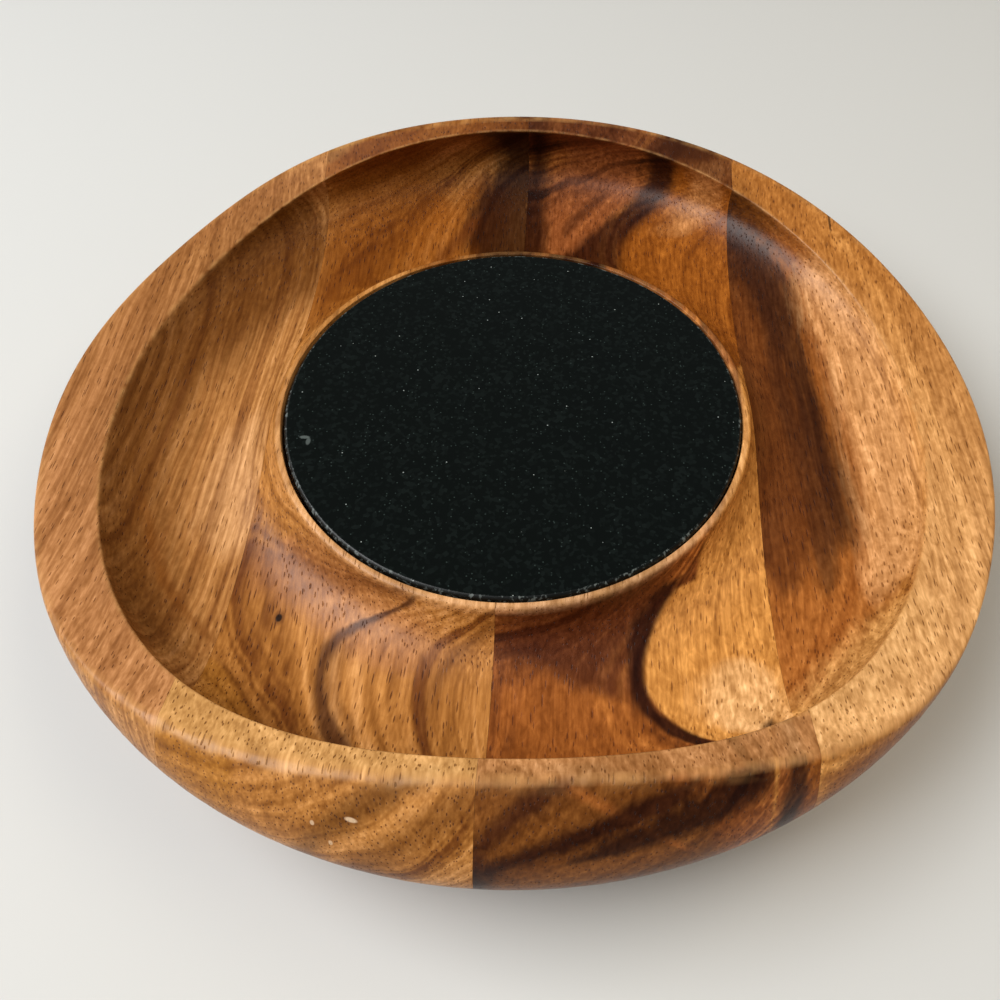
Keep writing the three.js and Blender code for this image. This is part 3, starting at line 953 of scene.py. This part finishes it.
# The stone's crystals, and the chips in its ground edge, in mm.
CRYSTAL_SIZE = 1.2
CHIP_SIZE = 1.4
# Pale grains of about 0.5 mm, and a few bright ones: spacing in mm, then radius and how many show as shares,
# colour and strength.
STONE_GRAINS = [(1.3, 0.22, 0.3, "#3a4744", 0.6), (4.2, 0.06, 0.5, "#aab4b1", 0.8)]


def granite(sizes):
    """Black granite, sawn and polished: a near-black ground with fine grey crystals, glassy, not a mirror."""
    material, tree = new_material("black_granite_polished")
    point = in_millimetres(tree)

    # Each crystal is a slightly different black-green.
    crystals = pattern(tree, "TexVoronoi", point, (CRYSTAL_SIZE,) * 3)
    tint = add(tree, "SeparateColor", {0: crystals.outputs["Color"]})
    range_of_tints = {0: tint, FROM_MIN: 0.6, FROM_MAX: 1.0, TO_MIN: 0.0, TO_MAX: 0.16}
    paleness = add(tree, "MapRange", range_of_tints)
    colour = painted(tree, tuple(sizes.colour), linear("#2a3432"), paleness)

    for spacing, radius, chance, hex_colour, strength in STONE_GRAINS:
        grains = pattern(tree, "TexVoronoi", point, (spacing,) * 3)
        picked = add(tree, "SeparateColor", {0: grains.outputs["Color"]})
        here = add(tree, "Math", {0: picked, 1: chance}, operation="LESS_THAN")
        fade = {FROM_MIN: radius * 0.6, FROM_MAX: radius, TO_MIN: 1.0, TO_MAX: 0.0}
        spot = add(tree, "MapRange", {0: grains.outputs["Distance"], **fade})
        colour = painted(tree, colour, linear(hex_colour), spot, here, strength)

    # The ground edge is dull grey, and broken by small chips.
    edge = add(tree, "Attribute", attribute_name="ground_edge").outputs["Fac"]
    chips = pattern(tree, "TexNoise", point, (CHIP_SIZE,) * 3, {"Detail": 3.0})
    broken = {0: chips, FROM_MIN: 0.56, FROM_MAX: 0.66, TO_MIN: 0.0, TO_MAX: 0.8}
    chipped = add(tree, "MapRange", broken)
    colour = painted(tree, colour, linear("#6d7674"), edge, chipped)
    # Pale marks along the front-left edge: chips, with a painted highlight on the chamfer.
    colour = with_marks(tree, colour, point, STONE_MARKS_AND_GLINTS)
    rough = add(tree, "Math", {0: edge, 1: 0.35, 2: sizes.polish}, operation="MULTIPLY_ADD")
    shader = add(tree, "BsdfPrincipled", {"Base Color": colour, "Roughness": rough, "IOR": 1.54})
    finish_material(tree, shader)
    return material


def silicone(sizes):
    """Clear silicone, moulded: soft, slightly milky and smooth."""
    material, tree = new_material("silicone_clear_moulded")
    surface = {"Base Color": tuple(sizes.colour), "Roughness": 0.28, "IOR": 1.41, "Transmission Weight": 0.45}
    shader = add(tree, "BsdfPrincipled", surface)
    finish_material(tree, shader)
    return material


def matt_floor(sizes):
    """Painted matt board: even and pale."""
    material, tree = new_material("painted_board_matt")
    surface = {"Base Color": tuple(sizes.floor_colour), "Roughness": 0.75}
    shader = add(tree, "BsdfPrincipled", surface)
    finish_material(tree, shader)
    return material


# ---- Pieces ----


def put(name, mesh, material, body=None, node=None):
    """Makes the object, rides it on its body and lets it stand for its CAD node."""
    piece = bpy.data.objects.new(name, mesh)
    bpy.context.scene.collection.objects.link(piece)
    mesh.materials.append(material)
    if body:
        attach(piece, body)
        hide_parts(node)
    return piece


def turned_mesh(name, outline, segments, centre):
    """A closed solid of revolution from (radius, height) points that start and end on the axis, in mm."""
    angles = np.arange(segments) * 2 * math.pi / segments
    rings = outline[1:-1]
    points = []
    for radius, height in rings:
        points += [(radius * math.cos(a), radius * math.sin(a), height) for a in angles]
    points += [(0, 0, outline[0][1]), (0, 0, outline[-1][1])]
    low, high = len(points) - 2, len(points) - 1
    faces = []
    last = (len(rings) - 1) * segments
    for j in range(segments):
        k = (j + 1) % segments
        faces.append((low, k, j))
        faces.append((high, last + j, last + k))
        for i in range(len(rings) - 1):
            faces.append((i * segments + j, i * segments + k, (i + 1) * segments + k, (i + 1) * segments + j))
    mesh = bpy.data.meshes.new(name)
    placed = (np.array(points, float) + np.array(centre, float)) * MM
    mesh.from_pydata(placed.tolist(), [], faces)
    mesh.polygons.foreach_set("use_smooth", [True] * len(mesh.polygons))
    return mesh


DISC_SEGMENTS = 360
DISC_EDGE_SOFTNESS = 0.12  # mm by which each corner of the chamfers is eased
CUSHION_SEGMENTS = 64
CUSHION_SIDE = 0.12  # height of a cushion's upright side, as a share of its own
CUSHION_ARC = (15, 30, 45, 60, 72, 82)  # degrees
CUSHION_FULLNESS = (0.7, 0.8)  # powers under 1 make the dome fuller than a half round


def disc_mesh(sizes):
    """The disc with ground chamfers, whose edge is painted as ground_edge."""
    low, high = DISC_BOX
    centre = (low + high) / 2 / MM
    radius = (high.x - low.x) / 2 / MM
    bottom, top = low.z / MM, high.z / MM
    bevel = sizes.chamfer / MM
    soft = DISC_EDGE_SOFTNESS
    slight = soft * 0.3
    outline = [(0, bottom)]
    outline += [(radius * share, bottom) for share in (0.4, 0.8)]
    outline += [(radius - bevel - soft, bottom), (radius - bevel, bottom + slight)]
    outline += [(radius - slight, bottom + bevel), (radius, bottom + bevel + soft)]
    outline += [(radius, (bottom + top) / 2)]
    outline += [(radius, top - bevel - soft), (radius - slight, top - bevel)]
    outline += [(radius - bevel, top - slight), (radius - bevel - soft, top)]
    outline += [(radius * share, top) for share in (0.985, 0.8, 0.4)]
    outline += [(0, top)]
    mesh = turned_mesh("granite_disc_polished", outline, DISC_SEGMENTS, (centre.x, centre.y, 0))
    slack = 0.01
    face_edge = radius - bevel - soft - slack
    values = []
    for vertex in mesh.vertices:
        reach = math.hypot(vertex.co.x / MM - centre.x, vertex.co.y / MM - centre.y)
        values.append(1.0 if reach > face_edge else 0.0)
    edge = mesh.attributes.new("ground_edge", "FLOAT", "POINT")
    edge.data.foreach_set("value", values)
    return mesh


def cushion_mesh(node):
    """A low moulded dome with a flattened crown."""
    low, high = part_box(node)
    centre = (low + high) / 2 / MM
    radius = (high.x - low.x) / 2 / MM
    bottom, height = low.z / MM, (high.z - low.z) / MM
    side_top = bottom + height * CUSHION_SIDE
    outline = [(0, bottom), (radius * 0.6, bottom), (radius, bottom), (radius, side_top)]
    wide, tall = CUSHION_FULLNESS
    for degrees in CUSHION_ARC:
        angle = math.radians(degrees)
        outline.append((radius * math.cos(angle) ** wide, bottom + height * math.sin(angle) ** tall))
    outline.append((0, bottom + height))
    return turned_mesh(node + "_dome", outline, CUSHION_SEGMENTS, (centre.x, centre.y, 0))


class SERVER_OT_boards(bpy.types.Operator):
    """Adds the four acacia boards of the turned body"""

    bl_idname = "server.add_boards"
    bl_label = "Acacia Boards"
    bl_options = {"REGISTER", "UNDO"}

    def execute(self, context):
        sizes = context.scene.server_body
        body = body_mesh(sizes)
        half_gap = sizes.glue_gap / MM / 2
        for node, board in BOARDS.items():
            left, right = board["span"]
            left = None if left is None else left + half_gap
            right = None if right is None else right - half_gap
            mesh = cut_board(body, node + "_wood", left, right)
            put(node + "_wood", mesh, acacia(board, sizes.sheen), "server_body", node)
        bpy.data.meshes.remove(body)
        return {"FINISHED"}


class SERVER_OT_granite_disc(bpy.types.Operator):
    """Adds the polished granite disc that lifts out of the recess"""

    bl_idname = "server.add_granite_disc"
    bl_label = "Granite Disc"
    bl_options = {"REGISTER", "UNDO"}

    def execute(self, context):
        sizes = context.scene.server_stone
        mesh = disc_mesh(sizes)
        put("granite_disc_polished", mesh, granite(sizes), "disc", "granite_disc")
        return {"FINISHED"}


class SERVER_OT_cushions(bpy.types.Operator):
    """Adds the three silicone cushions that the disc rests on"""

    bl_idname = "server.add_cushions"
    bl_label = "Disc Cushions"
    bl_options = {"REGISTER", "UNDO"}

    def execute(self, context):
        material = silicone(context.scene.server_cushions)
        for number in (1, 2, 3):
            node = f"disc_cushion_{number}"
            put(node + "_dome", cushion_mesh(node), material, "server_body", node)
        return {"FINISHED"}


FLOOR_HALF_WIDTH = 3.0  # metres
# The lights: name, azimuth and elevation in degrees, distance and size in metres, share of the window's
# power, colour, and whether the pieces mirror it. Azimuth 0 is the back (+Y), and positive turns to the left.
LIGHTS = [
    ("window_light", 98, 50, 1.7, (1.3, 1.0), 1.0, "#fdfeff", True),
    ("right_fill", -80, 55, 1.8, (1.4, 1.0), 0.36, "#fff0d4", False),
    ("front_fill", 150, 62, 1.9, (1.6, 1.0), 0.26, "#fff6ea", False),
]
ROOM_COLOUR = "#e9eef2"
ROOM_STRENGTH = 0.1
CAMERA_PLACE = (0.013716, -0.203696, 0.263586)  # metres
CAMERA_TURNS = (5.1606, 36.198, -1.8405)  # degrees about Z, then X, then the line of sight
CAMERA_SENSOR = 36.0


def soft_light(name, azimuth, elevation, distance, size, power, colour, mirrored):
    """An oblong area light aimed at the server."""
    around, up = math.radians(azimuth), math.radians(elevation)
    direction = Vector((-math.sin(around) * math.cos(up), math.cos(around) * math.cos(up), math.sin(up)))
    data = bpy.data.lights.new(name, "AREA")
    data.shape = "RECTANGLE"
    data.size, data.size_y = size
    data.energy = power
    data.color = linear(colour)[:3]
    lamp = bpy.data.objects.new(name, data)
    lamp.visible_glossy = mirrored
    lamp.location = direction * distance + Vector((0, 0, DISC_LEVEL * MM))
    lamp.rotation_euler = direction.to_track_quat("Z", "Y").to_euler()
    bpy.context.scene.collection.objects.link(lamp)
    return lamp


class SERVER_OT_stage(bpy.types.Operator):
    """Adds the pale floor, the soft lights and the camera"""

    bl_idname = "server.add_stage"
    bl_label = "Stage"
    bl_options = {"REGISTER", "UNDO"}

    def execute(self, context):
        scene = context.scene
        sizes = scene.server_stage

        half = FLOOR_HALF_WIDTH
        mesh = bpy.data.meshes.new("stage_floor")
        corners = [(-half, -half, 0), (half, -half, 0), (half, half, 0), (-half, half, 0)]
        mesh.from_pydata(corners, [], [(0, 1, 2, 3)])
        put("stage_floor", mesh, matt_floor(sizes))

        for name, azimuth, elevation, distance, size, share, colour, mirrored in LIGHTS:
            power = sizes.window_power * share
            soft_light(name, azimuth, elevation, distance, size, power, colour, mirrored)

        world = bpy.data.worlds.new("dim_room")
        scene.world = world
        world.use_nodes = True
        tree = world.node_tree
        tree.nodes.clear()
        room = add(tree, "Background", {"Color": linear(ROOM_COLOUR), "Strength": ROOM_STRENGTH})
        add(tree, "OutputWorld", {"Surface": room})

        data = bpy.data.cameras.new("server_camera")
        data.sensor_width = CAMERA_SENSOR
        data.lens = sizes.lens
        data.dof.use_dof = False
        camera = bpy.data.objects.new("server_camera", data)
        turn, tip, roll = (math.radians(degrees) for degrees in CAMERA_TURNS)
        aim = Matrix.Rotation(turn, 4, "Z") @ Matrix.Rotation(tip, 4, "X") @ Matrix.Rotation(roll, 4, "Z")
        camera.matrix_world = Matrix.Translation(CAMERA_PLACE) @ aim
        scene.collection.objects.link(camera)
        scene.camera = camera
        scene.view_settings.view_transform = "Standard"
        return {"FINISHED"}


class SERVER_PT_panel(bpy.types.Panel):
    """Lists the server's pieces"""

    bl_idname = "SERVER_PT_panel"
    bl_label = "Chip and Dip Server"
    bl_space_type = "VIEW_3D"
    bl_region_type = "UI"
    bl_category = "Server"

    def draw(self, context):
        for operator, group in PIECES:
            box = self.layout.box()
            box.operator(operator.bl_idname)
            settings = getattr(context.scene, group)
            for name in settings.bl_rna.properties.keys():
                if name not in ("rna_type", "name"):
                    box.prop(settings, name)


GROUPS = {
    "server_body": ServerBodySizes,
    "server_stone": ServerStoneSizes,
    "server_cushions": ServerCushionSizes,
    "server_stage": ServerStageSizes,
}
PIECES = [
    (SERVER_OT_boards, "server_body"),
    (SERVER_OT_granite_disc, "server_stone"),
    (SERVER_OT_cushions, "server_cushions"),
    (SERVER_OT_stage, "server_stage"),
]
CLASSES = [*GROUPS.values(), *(operator for operator, group in PIECES), SERVER_PT_panel]


def register():
    for cls in CLASSES:
        bpy.utils.register_class(cls)
    for name, cls in GROUPS.items():
        setattr(bpy.types.Scene, name, PointerProperty(type=cls))


def unregister():
    for name in GROUPS:
        delattr(bpy.types.Scene, name)
    for cls in reversed(CLASSES):
        bpy.utils.unregister_class(cls)


def main():
    """Registers the add-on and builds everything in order."""
    register()
    bpy.ops.server.add_boards()
    bpy.ops.server.add_granite_disc()
    bpy.ops.server.add_cushions()
    bpy.ops.server.add_stage()


if __name__ == "__main__":
    main()
